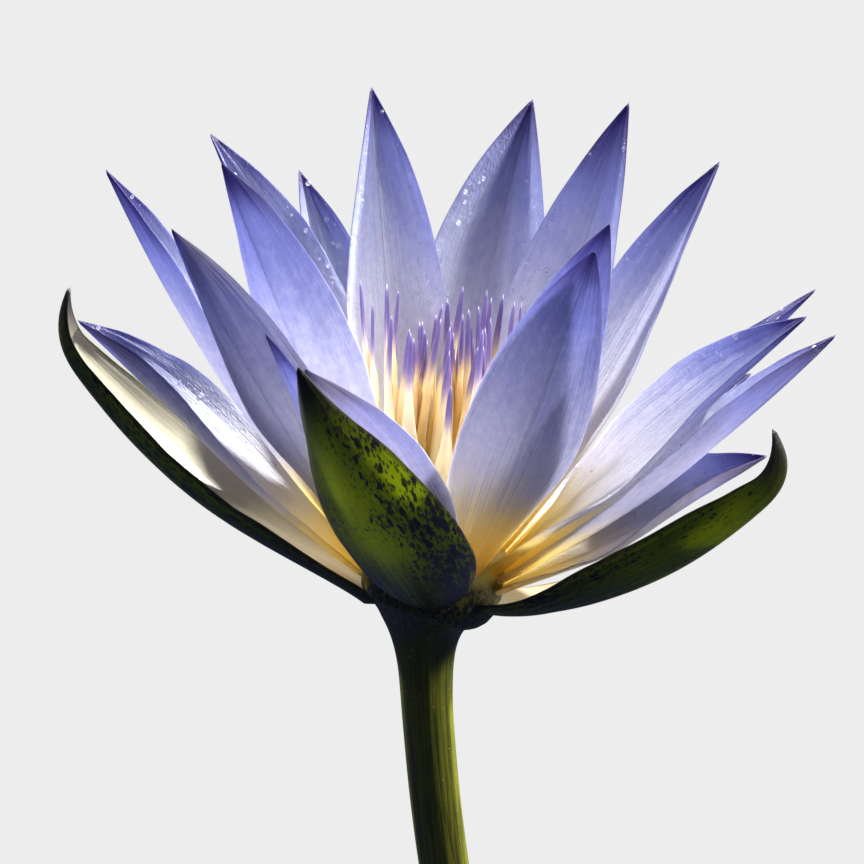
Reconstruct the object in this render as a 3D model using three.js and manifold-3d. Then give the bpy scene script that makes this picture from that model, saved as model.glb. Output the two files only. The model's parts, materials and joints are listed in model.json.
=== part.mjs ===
// A blue water lily (lotus flower), cut with its stem and laid on its back on a flat surface.
// Units are millimetres, +Z is up and the surface is at z = 0.
//
// The head is modelled upright, as it grows: its axis is +Z and z = 0 is the underside of the calyx.
// Azimuths are counted from +X towards +Y, so 270 is the side that ends up on top. The upright
// flower is then tipped over backwards, and rests on its stem's end, its back sepal and a back petal.

import * as THREE from 'three';
import { mergeVertices } from 'three/addons/utils/BufferGeometryUtils.js';
import Module from 'manifold-3d';

const wasm = await Module();
wasm.setup();

// ---------------------------------------------------------------------------
// Driving dimensions (millimetres and degrees)
// ---------------------------------------------------------------------------

const AXIS_RISE = 16.5;           // how far the laid flower's axis points up from the surface
const HEAD_TURN = 5;              // how far the head leans to the right of the stem's top
const FLAT_SPOT = 0.4;            // how deep the low points are pressed flat

const EDGE_THICK = 0.6;           // a petal or sepal at its edges
const TIP_HALF_WIDTH = 0.5;       // the blunt end of a petal
const HEEL_SHARE = 0.1;           // the share of its length in which a sepal's heel fades
const CLASP_SHARE = 0.3;          // the share of its length that wraps round the receptacle
const CLASP_FLAT = 0.4;           // how much shallower its trough is there
const ALONG = 13;                 // rows of a blade, from root to tip
const ACROSS = 6;                 // faces across a blade

const GAP = 0.3;                  // between pieces that grow against each other

const STEM_RADIUS = 3.95;         // along most of the stem
const STEM_FLARE = 4.6;           // how much wider it gets right under the head
const FLARE_HEIGHT = 3.8;         // the height in which that fades
const STEM_SIDES = 16;
const STEM_ROWS = 22;

// The receptacle, the drum at the stem's top that carries the flower: heights and radii.
const RECEPTACLE_TOP = 10.4;
const RECEPTACLE = [[0.2, 8.3], [1.6, 8.4], [4, 8.7], [8, 8.7], [RECEPTACLE_TOP, 8.3]];

// Where each whorl is inserted on the receptacle.
const WHORLS = {
  sepals: { radius: 9.4, height: 0.5 },
  outermost: { radius: 9.9, height: 3.3 },
  outer: { radius: 9.9, height: 5.1 },
  middle: { radius: 9.8, height: 6.8 },
  inner: { radius: 9.6, height: 8.5 },
};

// What a blade measures unless its own line says otherwise.
const PETAL = {
  thick: 0.9, width: 17, rootWidth: 0.32, widest: 0.5, cup: 35, keel: 0.35,
  bow: 3, heel: 0, hook: 0, sway: 0, roll: 0, clasp: 0,
};
const SEPAL = {
  thick: 1.3, width: 21, rootWidth: 0.5, widest: 0.42, cup: 58, keel: 0.2,
  bow: 24, heel: 0, hook: 50, sway: 0, roll: 0, clasp: 1,
};

// azimuth: the side it grows on; lean: its slope from the axis, midway; length: along its curve;
// bow: how much flatter it leaves the root than it ends; heel: how much flatter still right at the
// root; hook: how far the last part curls in; sway: how far it bends sideways; roll: its twist about
// its own length; clasp: how far its root wraps round the receptacle.
const SEPALS = [
  {
    name: 'sepal_left', azimuth: 171, lean: 56, length: 72, rootWidth: 0.62,
    bow: 25, heel: -25, height: 0,
  },
  {
    name: 'sepal_front', azimuth: 262, lean: 51, length: 82, width: 25, rootWidth: 0.6,
    cup: 50, bow: 16, hook: 12, sway: -14, height: 3.5,
  },
  {
    name: 'sepal_right', azimuth: 337, lean: 52.5, length: 63, width: 18, rootWidth: 0.55,
    bow: 22, heel: 18, hook: 66, height: 2.2,
  },
  { name: 'sepal_back', azimuth: 76, lean: 53, length: 65, rootWidth: 0.62, hook: 30 },
];

const PETALS = [
  { whorl: 'outermost', azimuth: 168, lean: 55, length: 60, width: 18, cup: 45, keel: 0.5 },
  {
    whorl: 'outermost', azimuth: 258, lean: 50, length: 77, width: 23, bow: 9, sway: -8,
    cup: 42, height: 5.4,
  },
  { whorl: 'outermost', azimuth: 349, lean: 54.5, length: 48, width: 16, bow: 5, roll: 15, height: 3.8 },
  { whorl: 'outermost', azimuth: 27, lean: 54, length: 54, width: 17 },
  { whorl: 'outermost', azimuth: 124, lean: 61.8, length: 65, width: 17, rootWidth: 0.24 },
  { whorl: 'outer', azimuth: 348, lean: 45.5, length: 66.5, width: 19, bow: 10, cup: 42, height: 5.5 },
  { whorl: 'outermost', azimuth: 101, lean: 48, length: 58, width: 14, height: 4, rootWidth: 0.27 },
  { whorl: 'middle', azimuth: 8, lean: 44, length: 65, width: 12, bow: 4, height: 7, rootWidth: 0.15 },
  { whorl: 'outer', azimuth: 240, lean: 44, length: 65.5, width: 8, height: 7.4 },
  { whorl: 'outer', azimuth: 121, lean: 38, length: 66, width: 17 },
  { whorl: 'middle', azimuth: 177, lean: 38, length: 73, width: 16, bow: 10, cup: 45, keel: 0.5 },
  { whorl: 'middle', azimuth: 213, lean: 36, length: 70, width: 16, roll: 30 },
  { whorl: 'middle', azimuth: 292, lean: 30, length: 72, width: 19, keel: 0.5, bow: 4, roll: -25 },
  { whorl: 'middle', azimuth: 339, lean: 42, length: 66, width: 20, bow: 2, roll: 30, height: 7.2 },
  { whorl: 'middle', azimuth: 33, lean: 31, length: 72, width: 19, bow: 8 },
  { whorl: 'middle', azimuth: 84, lean: 31, length: 75, width: 22, bow: 1, sway: -8, roll: 6 },
  { whorl: 'middle', azimuth: 145, lean: 34, length: 70, width: 22, bow: -3, rootWidth: 0.25, height: 7.2 },
  { whorl: 'inner', azimuth: 50, lean: 23, length: 73, width: 18, bow: 5, roll: 14, rootWidth: 0.28 },
  { whorl: 'inner', azimuth: 114, lean: 24, length: 71, width: 18 },
  { whorl: 'inner', azimuth: 214, lean: 28, length: 73, width: 18, bow: 0, roll: 30 },
  { whorl: 'inner', azimuth: 300, lean: 25, length: 69, width: 17, roll: -25 },
];

// The stem's line, downwards from the head, before the flower is tipped over. It hangs a little
// to the left, swings to the right, and sinks back until its last stretch lies on the surface.
const STEM_LINE = [
  [-0.6, 0, -1.6],
  [-0.7, 0, -8],
  [-0.2, 0.8, -20],
  [1.5, 4.5, -39],
  [5.8, 11.8, -73],
  [8.2, 12.5, -94],
  [9.4, 6.6, -114],
];

// Rows of stamens, from the petals inwards: how many stand on a circle of this radius, how wide
// their flat filaments are, and how far they lean out.
const STAMEN_ROWS = {
  stamens_outer: [
    { count: 14, circle: 7.6, width: 3.4, lean: 14 },
    { count: 15, circle: 6.7, width: 2.6, lean: 9 },
  ],
  stamens_inner: [
    { count: 14, circle: 5.2, width: 1.8, lean: 5 },
    { count: 9, circle: 4.5, width: 1.5, lean: 1 },
  ],
};
const STAMEN_LENGTHS = [30, 41];
const STAMEN_INCURVE = 10;        // how far each bends back towards the axis
const STAMEN_THICK = 0.9;
const STAMEN_RINGS = { stamens_outer: [5.95, 8.3], stamens_inner: [3.9, 5.65] };
const RING_HEIGHT = 1.3;

const STIGMA_RADIUS = 3.6;
const CARPELS = 12;

// ---------------------------------------------------------------------------
// Small helpers
// ---------------------------------------------------------------------------

const UP = new THREE.Vector3(0, 0, 1);
const radians = THREE.MathUtils.degToRad;
const smooth = (t) => THREE.MathUtils.smoothstep(t, 0, 1);

function finish(color, roughness) {
  return new THREE.MeshStandardMaterial({ color, roughness, metalness: 0 });
}

const PETAL_VIOLET = finish(0x7a7ec2, 0.55);
const SEPAL_GREEN = finish(0x55641f, 0.5);
const STEM_GREEN = finish(0x39451c, 0.5);

function meshGeometry(points, triangles) {
  const geometry = new THREE.BufferGeometry();
  const positions = points.flatMap((p) => [p.x, p.y, p.z]);
  geometry.setAttribute('position', new THREE.Float32BufferAttribute(positions, 3));
  geometry.setIndex(triangles.flat());
  return geometry;
}

// ---------------------------------------------------------------------------
// Petals and sepals: one closed blade each
// ---------------------------------------------------------------------------

// Half the blade's width at a part u of its length: it widens from the root as a quarter wave
// and closes to the tip as a power curve.
function halfWidth(blade, u) {
  const half = blade.width / 2;
  if (u < blade.widest) {
    const rise = Math.sin((Math.PI / 2) * (u / blade.widest));
    return half * (blade.rootWidth + (1 - blade.rootWidth) * rise);
  }
  const fall = (u - blade.widest) / (1 - blade.widest);
  return Math.max(half * (1 - fall ** 1.9), TIP_HALF_WIDTH);
}

// The midrib's direction and the blade's own left and inner sides at u.
function bladeFrame(blade, u) {
  const hook = blade.hook * smooth((u - 0.78) / 0.22);
  const heel = blade.heel * Math.exp(-u / HEEL_SHARE);
  const slope = radians(blade.lean + blade.bow * (1 - 2 * u) + heel - hook);
  const azimuth = radians(blade.azimuth + 2 * blade.sway * u);
  const forward = new THREE.Vector3(
    Math.cos(azimuth) * Math.sin(slope),
    Math.sin(azimuth) * Math.sin(slope),
    Math.cos(slope),
  );
  const side = new THREE.Vector3(-Math.sin(azimuth), Math.cos(azimuth), 0);
  const inward = new THREE.Vector3().crossVectors(forward, side);
  const twist = radians(blade.roll) * smooth(u / 0.5);
  side.applyAxisAngle(forward, twist);
  inward.applyAxisAngle(forward, twist);
  return { forward, side, inward };
}

// The midrib, walked from the root in short straight steps.
function midrib(blade) {
  const STEPS_PER_ROW = 6;
  const root = radians(blade.azimuth);
  const point = new THREE.Vector3(
    blade.radius * Math.cos(root),
    blade.radius * Math.sin(root),
    blade.height,
  );
  const rows = [point.clone()];
  const steps = (ALONG - 1) * STEPS_PER_ROW;
  for (let i = 0; i < steps; i += 1) {
    const { forward } = bladeFrame(blade, (i + 0.5) / steps);
    point.addScaledVector(forward, blade.length / steps);
    if ((i + 1) % STEPS_PER_ROW === 0) rows.push(point.clone());
  }
  return rows;
}

// A blade is a sheet bent across its width like a trough, with a keel towards its tip. Both faces
// are the same grid, moved half the thickness in or out, and are split into triangles alike.
function bladeGeometry(blade) {
  const points = [];
  const rows = midrib(blade);
  const cup = radians(blade.cup);
  for (const facing of [1, -1]) {
    rows.forEach((centre, row) => {
      const u = row / (ALONG - 1);
      const { side, inward } = bladeFrame(blade, u);
      const half = halfWidth(blade, u);
      const keel = blade.keel * smooth((u - 0.35) / 0.6);
      const clasp = blade.clasp * (1 - smooth(u / CLASP_SHARE));
      const fromAxis = Math.hypot(centre.x, centre.y);
      for (let column = 0; column <= ACROSS; column += 1) {
        const v = (2 * column) / ACROSS - 1;
        const across = (half / cup) * Math.sin(cup * v) * (1 - 0.35 * keel);
        const trough = (half / cup) * (1 - Math.cos(cup * v)) * (1 - CLASP_FLAT * clasp);
        const rise = trough + keel * Math.abs(v) * half;
        const thick = THREE.MathUtils.lerp(blade.thick, EDGE_THICK, Math.abs(v));
        const tilt = Math.atan(Math.tan(cup * v) * (1 - CLASP_FLAT * clasp) + Math.sign(v) * keel);
        const out = (facing * thick) / 2;
        const sideways = across - out * Math.sin(tilt);
        points.push(centre.clone()
          .addScaledVector(inward, rise + out * Math.cos(tilt))
          .applyAxisAngle(UP, (clasp * sideways) / fromAxis)
          .addScaledVector(side, (1 - clasp) * sideways));
      }
    });
  }
  const at = (face, row, column) => (face * ALONG + row) * (ACROSS + 1) + column;
  const triangles = [];
  const quad = (a, b, c, d) => triangles.push([a, b, c], [a, c, d]);
  for (let row = 0; row < ALONG - 1; row += 1) {
    for (let column = 0; column < ACROSS; column += 1) {
      quad(at(0, row, column), at(0, row + 1, column), at(0, row + 1, column + 1), at(0, row, column + 1));
      quad(at(1, row + 1, column + 1), at(1, row + 1, column), at(1, row, column), at(1, row, column + 1));
    }
    quad(at(0, row, 0), at(1, row, 0), at(1, row + 1, 0), at(0, row + 1, 0));
    quad(at(0, row + 1, ACROSS), at(1, row + 1, ACROSS), at(1, row, ACROSS), at(0, row, ACROSS));
  }
  for (let column = 0; column < ACROSS; column += 1) {
    quad(at(0, 0, column + 1), at(1, 0, column + 1), at(1, 0, column), at(0, 0, column));
    const last = ALONG - 1;
    quad(at(0, last, column), at(1, last, column), at(1, last, column + 1), at(0, last, column + 1));
  }
  return meshGeometry(points, triangles);
}

// ---------------------------------------------------------------------------
// Solids made of rings: the stem and the stamens
// ---------------------------------------------------------------------------

// Joins rings of equal counts of points, first ring lowest, and closes both ends.
function ringSolid(rings) {
  const sides = rings[0].length;
  const points = rings.flat();
  const triangles = [];
  for (let row = 0; row < rings.length - 1; row += 1) {
    for (let i = 0; i < sides; i += 1) {
      const a = row * sides + i;
      const b = row * sides + ((i + 1) % sides);
      triangles.push([a, b, b + sides], [a, b + sides, a + sides]);
    }
  }
  for (const [row, flip] of [[0, true], [rings.length - 1, false]]) {
    const centre = new THREE.Vector3();
    rings[row].forEach((p) => centre.addScaledVector(p, 1 / sides));
    const middle = points.push(centre) - 1;
    for (let i = 0; i < sides; i += 1) {
      const a = row * sides + i;
      const b = row * sides + ((i + 1) % sides);
      triangles.push(flip ? [middle, b, a] : [middle, a, b]);
    }
  }
  return meshGeometry(points, triangles);
}

function roundRing(centre, axis, radius) {
  const across = new THREE.Vector3(1, 0, 0).addScaledVector(axis, -axis.x).normalize();
  const back = new THREE.Vector3().crossVectors(axis, across);
  return Array.from({ length: STEM_SIDES }, (_, i) => {
    const angle = (2 * Math.PI * i) / STEM_SIDES;
    return centre.clone()
      .addScaledVector(across, radius * Math.cos(angle))
      .addScaledVector(back, radius * Math.sin(angle));
  });
}

// The stem with the receptacle at its top, in the frame of the upright plant.
function stemGeometry() {
  const line = new THREE.CatmullRomCurve3(STEM_LINE.map((p) => new THREE.Vector3(...p)));
  const rings = [];
  for (let row = STEM_ROWS; row >= 0; row -= 1) {
    const t = (row / STEM_ROWS) ** 1.3;
    const centre = line.getPoint(t);
    const radius = STEM_RADIUS + STEM_FLARE * Math.exp(centre.z / FLARE_HEIGHT);
    rings.push(roundRing(centre, line.getTangent(t).negate(), radius));
  }
  const axis = UP.clone().applyEuler(head.rotation);
  for (const [height, radius] of RECEPTACLE) {
    rings.push(roundRing(axis.clone().multiplyScalar(height), axis, radius));
  }
  return ringSolid(rings);
}

// ---------------------------------------------------------------------------
// Solids joined from several
// ---------------------------------------------------------------------------

function toSolid(geometry) {
  const bare = geometry.clone();
  bare.deleteAttribute('normal');
  bare.deleteAttribute('uv');
  const merged = mergeVertices(bare, 1e-4);
  return new wasm.Manifold(new wasm.Mesh({
    numProp: 3,
    vertProperties: new Float32Array(merged.attributes.position.array),
    triVerts: new Uint32Array(merged.index.array),
  }));
}

function toGeometry(solid) {
  const mesh = solid.getMesh();
  const geometry = new THREE.BufferGeometry();
  geometry.setAttribute('position', new THREE.BufferAttribute(mesh.vertProperties, 3));
  geometry.setIndex(new THREE.BufferAttribute(mesh.triVerts, 1));
  return geometry;
}

function joined(geometries) {
  const [first, ...others] = geometries.map(toSolid);
  return toGeometry(others.reduce((whole, next) => whole.add(next), first));
}

// ---------------------------------------------------------------------------
// Stamens and stigma
// ---------------------------------------------------------------------------

// A seeded generator of numbers from 0 to 1.
function seededRandom(seed) {
  let state = seed;
  return () => {
    state = (state * 1664525 + 1013904223) % 4294967296;
    return state / 4294967296;
  };
}

// A flat ribbon with a diamond section: a broad filament, the anther, and a narrow pointed tip.
const STAMEN_PROFILE = [[0, 0.8], [0.25, 1], [0.6, 0.7], [0.8, 0.42], [0.92, 0.3], [1, 0.1]];

function stamenGeometry({ azimuth, circle, width, lean, length, base }) {
  const out = new THREE.Vector3(Math.cos(azimuth), Math.sin(azimuth), 0);
  const side = new THREE.Vector3(-Math.sin(azimuth), Math.cos(azimuth), 0);
  const rings = STAMEN_PROFILE.map(([t, share]) => {
    const drift = Math.sin(radians(lean - STAMEN_INCURVE * t / 2)) * length * t;
    const centre = out.clone().multiplyScalar(circle + drift).addScaledVector(UP, base + length * t);
    const half = Math.max((width / 2) * share, 0.3);
    const thin = Math.max((STAMEN_THICK / 2) * (1 - 0.5 * t), 0.3);
    return [
      centre.clone().addScaledVector(out, thin),
      centre.clone().addScaledVector(side, half),
      centre.clone().addScaledVector(out, -thin),
      centre.clone().addScaledVector(side, -half),
    ];
  });
  return ringSolid(rings);
}

function stamensGeometry(name, random) {
  const base = RECEPTACLE_TOP + GAP;
  const [inside, outside] = STAMEN_RINGS[name];
  const ring = new THREE.LatheGeometry([
    new THREE.Vector2(inside, base),
    new THREE.Vector2(outside, base),
    new THREE.Vector2(outside, base + RING_HEIGHT),
    new THREE.Vector2(inside, base + RING_HEIGHT),
    new THREE.Vector2(inside, base),
  ], 32).rotateX(Math.PI / 2);
  const parts = [ring];
  for (const row of STAMEN_ROWS[name]) {
    for (let i = 0; i < row.count; i += 1) {
      const azimuth = (2 * Math.PI * (i + 0.35 * random())) / row.count + row.circle;
      const length = THREE.MathUtils.lerp(...STAMEN_LENGTHS, random());
      const lean = row.lean + 3 * (random() - 0.5);
      parts.push(stamenGeometry({ ...row, azimuth, length, lean, base: base + 0.3 }));
    }
  }
  return joined(parts);
}

// The stigma: a shallow cup with a crown of short incurved styles, one for each carpel.
function stigmaGeometry() {
  const base = RECEPTACLE_TOP + GAP;
  const cup = new THREE.LatheGeometry([
    new THREE.Vector2(0, base),
    new THREE.Vector2(STIGMA_RADIUS, base),
    new THREE.Vector2(STIGMA_RADIUS, base + 1.8),
    new THREE.Vector2(STIGMA_RADIUS - 1.2, base + 1.2),
    new THREE.Vector2(0, base + 0.9),
  ], 24).rotateX(Math.PI / 2);
  const parts = [cup];
  for (let i = 0; i < CARPELS; i += 1) {
    const azimuth = (2 * Math.PI * i) / CARPELS;
    const style = { azimuth, circle: STIGMA_RADIUS - 0.6, width: 1.3, lean: 0, length: 4, base: base + 1 };
    parts.push(stamenGeometry(style));
  }
  return joined(parts);
}

// ---------------------------------------------------------------------------
// The flower
// ---------------------------------------------------------------------------

const STAMEN_YELLOW = finish(0xd9b45a, 0.6);
const STIGMA_YELLOW = finish(0xe0b93a, 0.6);

const plant = new THREE.Group();
plant.rotation.x = -radians(90 - AXIS_RISE);

const head = new THREE.Group();
head.rotation.y = radians(HEAD_TURN);
plant.add(head);

function addPiece(group, name, geometry, material) {
  const mesh = new THREE.Mesh(geometry, material);
  mesh.name = name;
  group.add(mesh);
}

function addBlade(name, whorl, defaults, own, material) {
  const blade = { ...defaults, ...WHORLS[whorl], ...own };
  addPiece(head, name, bladeGeometry(blade), material);
}

addPiece(plant, 'stem', stemGeometry(), STEM_GREEN);
for (const own of SEPALS) addBlade(own.name, 'sepals', SEPAL, own, SEPAL_GREEN);
PETALS.forEach((own, i) => {
  const number = String(i + 1).padStart(2, '0');
  addBlade(`petal_${number}`, own.whorl, PETAL, own, PETAL_VIOLET);
});
const random = seededRandom(7);
for (const name of Object.keys(STAMEN_ROWS)) {
  addPiece(head, name, stamensGeometry(name, random), STAMEN_YELLOW);
}
addPiece(head, 'stigma', stigmaGeometry(), STIGMA_YELLOW);

// ---------------------------------------------------------------------------
// Laying it down
// ---------------------------------------------------------------------------

const flower = new THREE.Group();
flower.add(plant);
flower.updateMatrixWorld(true);

// The low points are pressed flat by the surface: each loses what reaches below it.
const floor = new THREE.Box3().setFromObject(flower, true).min.z + FLAT_SPOT;
const ABOVE = 1000;
const above = toSolid(new THREE.BoxGeometry(ABOVE, ABOVE, ABOVE).translate(0, 0, floor + ABOVE / 2));
flower.traverse((mesh) => {
  if (!mesh.isMesh) return;
  const lowest = new THREE.Box3().setFromObject(mesh, true).min.z;
  if (lowest >= floor) return;
  const laid = toSolid(mesh.geometry.applyMatrix4(mesh.matrixWorld)).intersect(above);
  mesh.geometry = toGeometry(laid).applyMatrix4(mesh.matrixWorld.clone().invert());
});

// The origin is the middle of the laid flower's outline, on the surface.
const outline = new THREE.Box3().setFromObject(flower, true);
const middle = outline.getCenter(new THREE.Vector3());
flower.position.set(-middle.x, -middle.y, -floor);

export default flower;
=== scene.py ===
import json
import math

import bpy
from mathutils import Matrix, Vector

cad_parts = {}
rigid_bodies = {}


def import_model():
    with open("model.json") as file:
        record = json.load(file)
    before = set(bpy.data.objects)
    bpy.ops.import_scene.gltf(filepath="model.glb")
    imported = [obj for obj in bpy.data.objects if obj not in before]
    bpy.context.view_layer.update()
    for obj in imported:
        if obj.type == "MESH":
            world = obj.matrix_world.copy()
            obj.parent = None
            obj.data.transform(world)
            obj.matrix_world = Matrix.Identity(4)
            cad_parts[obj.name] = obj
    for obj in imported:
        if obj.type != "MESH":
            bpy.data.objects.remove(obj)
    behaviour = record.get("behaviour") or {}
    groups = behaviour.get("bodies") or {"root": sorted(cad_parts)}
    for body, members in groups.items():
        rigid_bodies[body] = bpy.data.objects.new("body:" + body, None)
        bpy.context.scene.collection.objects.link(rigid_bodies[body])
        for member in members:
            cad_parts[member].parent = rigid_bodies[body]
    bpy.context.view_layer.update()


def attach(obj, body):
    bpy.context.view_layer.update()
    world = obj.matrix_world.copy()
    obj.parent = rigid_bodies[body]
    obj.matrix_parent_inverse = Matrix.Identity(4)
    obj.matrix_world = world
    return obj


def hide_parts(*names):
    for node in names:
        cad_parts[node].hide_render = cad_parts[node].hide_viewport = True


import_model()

# ---------------------------------------------------------------------------
# How the flower lies
# The upright flower is tipped over backwards until its axis rises 16.5 degrees from the surface.
# Its head leans 5 degrees to the right of the top of its stem.
# ---------------------------------------------------------------------------

AXIS_RISE = 16.5
HEAD_TURN = 5
CALYX_PLACE = Vector((-0.001645, 0.013141, 0.042867))     # metres, on the surface
MILLIMETRE = 0.001

laid_plant = (
    Matrix.Translation(CALYX_PLACE)
    @ Matrix.Rotation(-math.radians(90 - AXIS_RISE), 4, "X")
    @ Matrix.Scale(MILLIMETRE, 4)
)
laid_head = laid_plant @ Matrix.Rotation(math.radians(HEAD_TURN), 4, "Y")

# ---------------------------------------------------------------------------
# Stem
# One smooth fleshy stalk that widens into the receptacle, the short drum that carries the sepals,
# petals and stamens. It is olive green with fine pale specks, and is cut straight across.
# ---------------------------------------------------------------------------

STEM_RADIUS = 3.95
STEM_FLARE = 4.6                  # how much wider it gets right under the head
FLARE_HEIGHT = 3.8                # the height in which that fades
RECEPTACLE_RADIUS = 8.6
RECEPTACLE_TOP = 10.4
BOWL = 2.3                        # how much further it swells between the bases of the sepals
STEM_SIDES = 64
STEM_STEP = 0.8                   # between the rings of its mesh
WELD = 0.0005                     # points of any piece nearer than this become one

# The stem's line in the frame of the upright plant, upwards from the cut.
STEM_LINE = [
    (9.4, 6.6, -114),
    (8.2, 12.5, -94),
    (5.8, 11.8, -73),
    (1.5, 4.5, -39),
    (-0.2, 0.8, -20),
    (-0.7, 0, -8),
    (-0.6, 0, -1.6),
    (0.1, 0, 2),
    (0.5, 0, 6),
    (0.9, 0, RECEPTACLE_TOP),
]


class Wire:
    """A node's socket to reckon with: a sum or product of wires adds the Math nodes that make it."""

    def __init__(self, socket):
        self.socket = socket

    def node(self, kind, settings=None, values=None, out=0):
        """Any other node of the same tree: its settings first, then its sockets' values or links."""
        made = self.socket.id_data.nodes.new(kind)
        for name, value in (settings or {}).items():
            if name == "stops":
                lay_stops(made.color_ramp, value)
            else:
                setattr(made, name, value)
        for name, value in (values or {}).items():
            if isinstance(value, Wire):
                self.socket.id_data.links.new(value.socket, made.inputs[name])
            else:
                made.inputs[name].default_value = value
        return Wire(made.outputs[out])

    def __getitem__(self, name):
        return Wire(self.socket.node.outputs[name])

    def math(self, operation, *others):
        values = dict(enumerate((self, *others)))
        return self.node("ShaderNodeMath", {"operation": operation}, values)

    def reflected(self, operation, other):
        return self.node("ShaderNodeMath", {"operation": operation}, {0: other, 1: self})

    def __add__(self, other):
        return self.math("ADD", other)

    def __sub__(self, other):
        return self.math("SUBTRACT", other)

    def __mul__(self, other):
        return self.math("MULTIPLY", other)

    def __truediv__(self, other):
        return self.math("DIVIDE", other)

    def __mod__(self, other):
        return self.math("MODULO", other)

    def __pow__(self, other):
        return self.math("POWER", other)

    def __gt__(self, other):
        return self.math("GREATER_THAN", other)

    def __lt__(self, other):
        return self.math("LESS_THAN", other)

    def __neg__(self):
        return self * -1

    def __abs__(self):
        return self.math("ABSOLUTE")

    def __rsub__(self, other):
        return self.reflected("SUBTRACT", other)

    def __rtruediv__(self, other):
        return self.reflected("DIVIDE", other)

    __radd__ = __add__
    __rmul__ = __mul__


def lay_stops(ramp, stops):
    while len(ramp.elements) < len(stops):
        ramp.elements.new(0.5)
    for element, (place, colour) in zip(ramp.elements, stops):
        element.position = place
        element.color = colour


def smooth(wire):
    """An S-curve from 0 to 1, flat outside them."""
    t = wire.node("ShaderNodeClamp", values={"Value": wire})
    return t * t * (3 - 2 * t)


def mixed(factor, first, second):
    """The two numbers mixed: the first at 0, the second at 1."""
    return first + (second - first) * factor


def joined_vector(x, y, z):
    anchor = next(part for part in (x, y, z) if isinstance(part, Wire))
    return anchor.node("ShaderNodeCombineXYZ", values={"X": x, "Y": y, "Z": z})


def growth(name, sizes):
    """A new Geometry Nodes tree with a number input for each size: its inputs as wires, by name."""
    tree = bpy.data.node_groups.new(name, "GeometryNodeTree")
    for direction in ("OUTPUT", "INPUT"):
        tree.interface.new_socket("Geometry", in_out=direction, socket_type="NodeSocketGeometry")
    for size in sizes:
        tree.interface.new_socket(size, in_out="INPUT", socket_type="NodeSocketFloat")
    tree.interface.new_socket("Material", in_out="INPUT", socket_type="NodeSocketMaterial")
    entry = tree.nodes.new("NodeGroupInput")
    return {socket.name: Wire(socket) for socket in entry.outputs if socket.name}


def ripen(inputs, geometry):
    """Ends a tree: real faces, smooth, in the piece's material."""
    whole = geometry.node("GeometryNodeRealizeInstances", values={"Geometry": geometry})
    whole = whole.node("GeometryNodeSetShadeSmooth", values={"Geometry": whole})
    whole = whole.node(
        "GeometryNodeSetMaterial", values={"Geometry": whole, "Material": inputs["Material"]}
    )
    tree = whole.socket.id_data
    tree.links.new(whole.socket, tree.nodes.new("NodeGroupOutput").inputs["Geometry"])
    return tree


def labelled(geometry, name, value, kind="FLOAT"):
    """The geometry with a value kept at each point under this name, for its material."""
    settings = {"data_type": kind, "domain": "POINT"}
    values = {"Geometry": geometry, "Name": name, "Value": value}
    return geometry.node("GeometryNodeStoreNamedAttribute", settings, values)


def unrolled(new, rows, sides):
    """A unit square mesh to roll up, and each point's share of the way along it and round it."""
    grid = new(
        "GeometryNodeMeshGrid",
        values={"Size X": 1.0, "Size Y": 1.0, "Vertices X": rows, "Vertices Y": sides + 1},
    )
    flat = new("ShaderNodeSeparateXYZ", values={"Vector": new("GeometryNodeInputPosition")})
    return grid, flat["X"] + 0.5, flat["Y"] + 0.5


def put(geometry, place):
    """The geometry with its points at their places, and the points that meet made one."""
    put_there = geometry.node(
        "GeometryNodeSetPosition", values={"Geometry": geometry, "Position": place}
    )
    values = {"Geometry": put_there, "Distance": WELD}
    return geometry.node("GeometryNodeMergeByDistance", values=values)


def kept(new, name):
    """A value that the geometry's points keep under this name."""
    return new("GeometryNodeInputNamedAttribute", {"data_type": "FLOAT"}, {"Name": name})


def grown(name, tree, material, sizes, place, seedling=None):
    """A piece grown by a tree from the seedling mesh, as a plain mesh put in its place.

    The surface presses flat what would reach below it.
    """
    piece = bpy.data.objects.new(name, seedling or bpy.data.meshes.new(name))
    bpy.context.scene.collection.objects.link(piece)
    modifier = piece.modifiers.new("growth", "NODES")
    modifier.node_group = tree
    sockets = {item.name: item.identifier for item in tree.interface.items_tree if item.in_out == "INPUT"}
    for size, value in sizes.items():
        modifier[sockets[size]] = float(value)
    modifier[sockets["Material"]] = material
    depsgraph = bpy.context.evaluated_depsgraph_get()
    mesh = bpy.data.meshes.new_from_object(piece.evaluated_get(depsgraph))
    piece.modifiers.clear()
    piece.data = mesh
    mesh.name = name
    mesh.transform(place)
    for vertex in mesh.vertices:
        vertex.co.z = max(vertex.co.z, 0)
    return piece


def colour(code):
    """A colour from its hex code, made linear for the shaders."""
    shares = (int(code[i : i + 2], 16) / 255 for i in (1, 3, 5))
    return (*(s / 12.92 if s <= 0.04045 else ((s + 0.055) / 1.055) ** 2.4 for s in shares), 1)


def skin(name, **constants):
    """A new material's shader, with what is the same all over it, and a wire to start from."""
    material = bpy.data.materials.new(name)
    material.use_nodes = True
    shader = material.node_tree.nodes["Principled BSDF"]
    for socket, value in constants.items():
        shader.inputs[socket.replace("_", " ")].default_value = value
    return material, shader, Wire(shader.outputs[0])


def feed(shader, **links):
    for socket, wire in links.items():
        wire.socket.id_data.links.new(wire.socket, shader.inputs[socket.replace("_", " ")])


def glow(start, code, **links):
    """A shader for the light that comes through a thin blade, in one colour."""
    return start.node("ShaderNodeBsdfTranslucent", values={"Color": colour(code), **links})


def layered(start, share, under, over):
    """Two shaders mixed: the first where the share is 0, the second where it is 1."""
    return start.node("ShaderNodeMixShader", values={0: share, 1: under, 2: over})


def coat_with(material, mix):
    """Puts a mix of shaders on the material's surface in place of the one it began with."""
    material.node_tree.links.new(mix.socket, material.node_tree.nodes["Material Output"].inputs["Surface"])


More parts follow.
